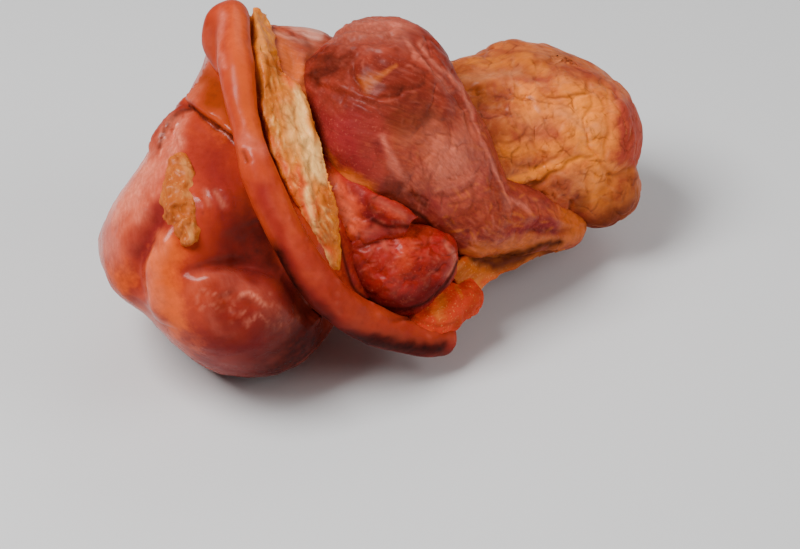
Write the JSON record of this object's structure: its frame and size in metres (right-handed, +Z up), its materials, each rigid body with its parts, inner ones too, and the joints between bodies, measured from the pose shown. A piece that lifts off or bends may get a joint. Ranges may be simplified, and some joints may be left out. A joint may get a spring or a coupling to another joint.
{
  "type": "smoked pork hock",
  "caption": "Smoked pork hock lying on its side: a glossy round sack of rind with a thick rolled cut edge, bared dark red muscles and a rounded golden shank end.",
  "frame": {"origin": "under the middle of the bounding box, on the surface that the hock rests on", "axes": "+X from the closed sack of rind towards the shank end, +Y towards the side with the whole rind, away from the bared muscles, +Z up"},
  "size_m": [0.1924, 0.1498, 0.1176],
  "materials": {
    "rind": "smoked orange-red rind, glossy and slightly translucent",
    "lean": "smoked dark red muscle under a thin glossy membrane",
    "fat": "smoked cream to amber fat, fibrous and half matt",
    "shank": "golden brown smoked membrane, veined and satin"
  },
  "bodies": {
    "root": {"pork_hock": "rind"}
  },
  "joints": []
}
